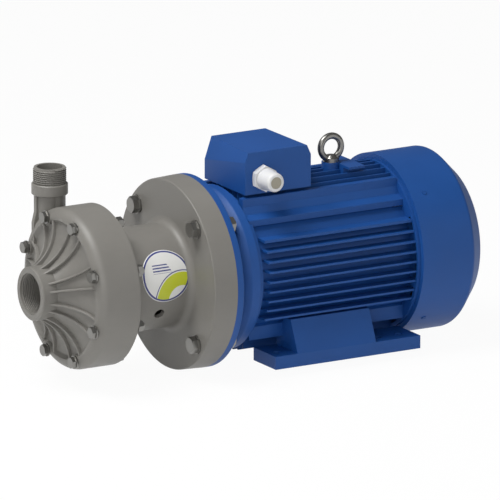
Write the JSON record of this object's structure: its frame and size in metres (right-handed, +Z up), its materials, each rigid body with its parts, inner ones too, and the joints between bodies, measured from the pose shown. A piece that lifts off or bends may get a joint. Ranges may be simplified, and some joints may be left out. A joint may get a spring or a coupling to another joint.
{
  "type": "magnetic-drive chemical pump with motor",
  "caption": "Plastic centrifugal pump with ribbed round casing and threaded ports, on a lantern bracket close-coupled to a finned foot-and-flange electric motor.",
  "frame": {"origin": "centre of the four foot holes, on the plane that the feet stand on", "axes": "+X along the shaft from the pump to the motor's fan, -X out of the suction port, +Z up, out of the discharge spout"},
  "size_m": [0.857, 0.35, 0.398],
  "materials": {
    "pump_plastic": "moulded, satin",
    "blue_paint": "semi-gloss",
    "zinc_steel": "zinc plated",
    "plain_steel": "machined",
    "bearing_steel": "ground",
    "laminations": "stacked sheet",
    "copper": "varnished wire",
    "cast_aluminium": "cast",
    "magnet": "nickel plated",
    "white_ceramic": "ground",
    "carbon": "machined",
    "black_rubber": "matt",
    "black_plastic": "moulded",
    "brass": "turned",
    "white_nylon": "moulded",
    "beige_plastic": "moulded"
  },
  "bodies": {
    "housing": {"front_casing": "pump_plastic", "bracket": "pump_plastic", "containment_shell": "pump_plastic", "shaft_support": "pump_plastic", "casing_o_ring": "black_rubber", "gland_seal": "black_rubber", "box_gasket": "black_rubber", "shaft_seals": "black_rubber", "ceramic_shaft": "white_ceramic", "front_thrust_ring": "white_ceramic", "rear_thrust_ring": "white_ceramic", "casing_bolts": "zinc_steel", "casing_washers": "zinc_steel", "casing_nuts": "zinc_steel", "flange_bolts": "zinc_steel", "flange_washers": "zinc_steel", "flange_nuts": "zinc_steel", "eyebolt": "zinc_steel", "wave_washer": "plain_steel", "shield_screws": "plain_steel", "foot_screws": "plain_steel", "box_screws": "plain_steel", "bearing_outer_rings": "bearing_steel", "front_shield": "blue_paint", "motor_frame": "blue_paint", "rear_shield": "blue_paint", "fan_cover": "blue_paint", "left_foot": "blue_paint", "right_foot": "blue_paint", "terminal_box": "blue_paint", "box_lid": "blue_paint", "lid_screws": "blue_paint", "fan_cover_screws": "blue_paint", "stator_core": "laminations", "stator_windings": "copper", "terminal_board": "black_plastic", "terminal_studs": "brass", "gland_body": "white_nylon", "gland_nut": "white_nylon", "gland_plug": "beige_plastic"},
    "drive_rotor": {"motor_shaft": "plain_steel", "shaft_key": "plain_steel", "rotor_core": "laminations", "rotor_rings": "cast_aluminium", "bearing_inner_rings": "bearing_steel", "cooling_fan": "black_plastic", "fan_circlip": "plain_steel", "drive_bell": "plain_steel", "drive_magnets": "magnet", "bell_grub_screws": "plain_steel"},
    "impeller_rotor": {"impeller": "pump_plastic", "impeller_bush": "carbon", "magnet_carrier": "pump_plastic", "inner_magnets": "magnet", "magnet_cap": "pump_plastic"},
    "ball_cages": {"bearing_balls": "bearing_steel"}
  },
  "joints": [
    {"name": "motor_spin", "type": "hinge", "parent": "housing", "child": "drive_rotor", "pos_m": [0, 0, 0.16], "axis": [1, 0, 0], "continuous": true},
    {"name": "impeller_spin", "type": "hinge", "parent": "housing", "child": "impeller_rotor", "pos_m": [0, 0, 0.16], "axis": [1, 0, 0], "continuous": true},
    {"name": "cage_spin", "type": "hinge", "parent": "housing", "child": "ball_cages", "pos_m": [0, 0, 0.16], "axis": [1, 0, 0], "continuous": true}
  ],
  "couplings": [
    {"joint": "impeller_spin", "follows": "motor_spin", "ratio": 1},
    {"joint": "cage_spin", "follows": "motor_spin", "ratio": 0.4}
  ]
}
